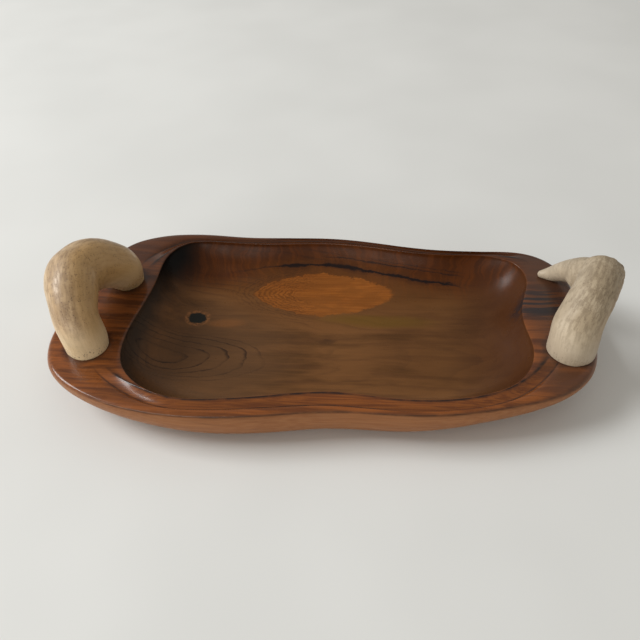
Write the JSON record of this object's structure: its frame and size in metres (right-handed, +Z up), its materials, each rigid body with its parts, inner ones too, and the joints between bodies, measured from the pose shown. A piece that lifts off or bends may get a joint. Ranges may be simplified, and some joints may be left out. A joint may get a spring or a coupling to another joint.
{
  "type": "carved serving bowl with antler handles",
  "caption": "Long carved hardwood serving bowl with a lobed hollow, gouged rim channels and an arched antler handle screwed to the deck at each end.",
  "frame": {"origin": "on the table, under the middle of the wooden bowl", "axes": "+X along the bowl's length towards its right-hand end, +Y to the back, +Z up out of the hollow"},
  "size_m": [0.5538, 0.2706, 0.1247],
  "materials": {
    "bowl_body": "oiled and polished, satin",
    "handles": null,
    "screws": "plain, dulled",
    "plugs": "oiled, satin"
  },
  "bodies": {
    "root": {"bowl_body": "bowl_body", "left_handle": "handles", "right_handle": "handles", "left_front_screw": "screws", "left_rear_screw": "screws", "right_front_screw": "screws", "right_rear_screw": "screws", "left_front_plug": "plugs", "left_rear_plug": "plugs", "right_front_plug": "plugs", "right_rear_plug": "plugs"}
  },
  "joints": []
}
